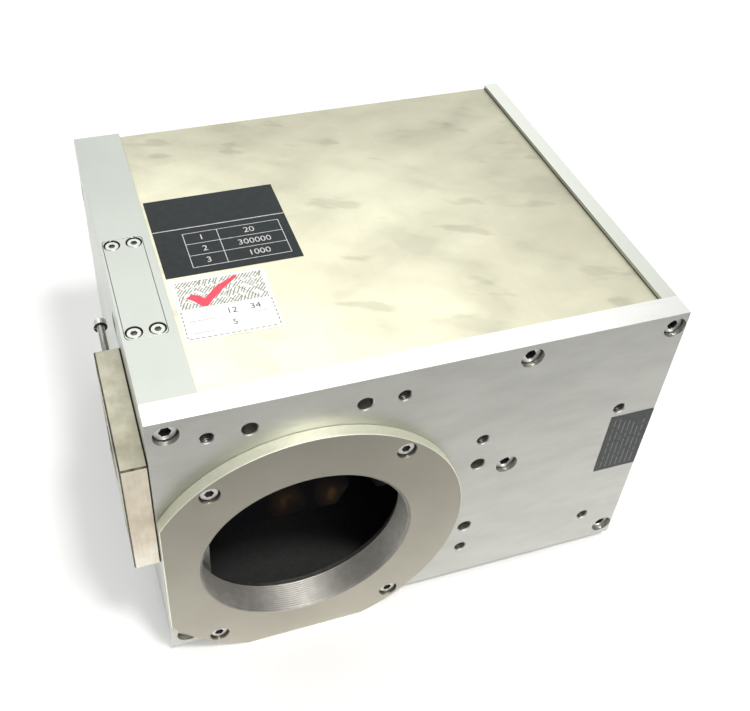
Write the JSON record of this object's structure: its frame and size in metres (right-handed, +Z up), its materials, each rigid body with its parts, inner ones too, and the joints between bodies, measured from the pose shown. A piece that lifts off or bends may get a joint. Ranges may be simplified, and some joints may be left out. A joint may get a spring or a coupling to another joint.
{
  "type": "galvo scanner head",
  "caption": "Two-axis galvanometer scanner head: a bolted aluminium box with an objective adapter ring, beam entrance block and two mirrors on galvanometers.",
  "frame": {"origin": "centre of the objective thread in the adapter ring's front face", "axes": "-Y out of the objective towards the work, +Z up to the top plate, +X along the entering beam"},
  "size_m": [0.217, 0.187, 0.1445],
  "materials": {
    "anodised_front": "satin, fine brushed",
    "anodised_wall": "satin",
    "rear_plate": "satin",
    "yellow_cover": "satin, handled",
    "ring_metal": "satin",
    "nickel_block": "nickel plated, stained",
    "screw_steel": "satin",
    "seal_rubber": "matt",
    "inner_aluminium": "satin",
    "galvo_black": "black anodised",
    "coil_copper": "enamelled copper wire",
    "machined_steel": "ground",
    "magnet_metal": "satin",
    "vane_black": "matt",
    "mirror_coating": "polished",
    "board_green": "satin",
    "spacer_brass": "satin",
    "connector_metal": "satin",
    "label_black": "satin",
    "sticker_white": "satin",
    "label_dark": "matt"
  },
  "bodies": {
    "housing": {"front_plate": "anodised_front", "entrance_wall": "anodised_wall", "side_wall": "anodised_wall", "back_plate": "rear_plate", "top_plate": "yellow_cover", "bottom_cover": "rear_plate", "front_plate_screws": "screw_steel", "top_plate_screws": "screw_steel", "back_plate_screws": "screw_steel", "bottom_cover_screws": "screw_steel", "adapter_ring": "ring_metal", "adapter_ring_screws": "screw_steel", "ring_seal": "seal_rubber", "entrance_adapter": "nickel_block", "entrance_adapter_screws": "screw_steel", "entrance_seal": "seal_rubber", "side_screw": "screw_steel", "port_cover": "anodised_wall", "port_cover_screws": "screw_steel", "x_galvo_plate": "inner_aluminium", "y_galvo_plate": "inner_aluminium", "x_galvo_plate_screws": "screw_steel", "galvo_clamp_screws": "screw_steel", "x_galvo_shell": "galvo_black", "x_galvo_coil": "coil_copper", "x_galvo_end_bell": "machined_steel", "x_galvo_bearings": "machined_steel", "x_detector_board": "board_green", "x_galvo_cap": "galvo_black", "y_galvo_shell": "galvo_black", "y_galvo_coil": "coil_copper", "y_galvo_end_bell": "machined_steel", "y_galvo_bearings": "machined_steel", "y_detector_board": "board_green", "y_galvo_cap": "galvo_black", "x_servo_board": "board_green", "y_servo_board": "board_green", "board_spacers": "spacer_brass", "board_screws": "screw_steel", "signal_connector": "connector_metal", "power_connector": "connector_metal", "connector_jackscrews": "connector_metal", "rating_label": "label_black", "inspection_sticker": "sticker_white", "front_label": "label_dark"},
    "x_rotor": {"x_shaft": "machined_steel", "x_magnet": "magnet_metal", "x_detector_vane": "vane_black", "x_mirror_mount": "inner_aluminium", "x_mirror": "mirror_coating"},
    "y_rotor": {"y_shaft": "machined_steel", "y_magnet": "magnet_metal", "y_detector_vane": "vane_black", "y_mirror_mount": "inner_aluminium", "y_mirror": "mirror_coating"}
  },
  "joints": [
    {"name": "x_mirror_turn", "type": "hinge", "parent": "housing", "child": "x_rotor", "pos_m": [0, 0.045, 0.0355], "axis": [0, 1, 0], "range_deg": [-10, 10]},
    {"name": "y_mirror_turn", "type": "hinge", "parent": "housing", "child": "y_rotor", "pos_m": [0, 0.045, 0], "axis": [1, 0, 0], "range_deg": [-10, 10]}
  ]
}
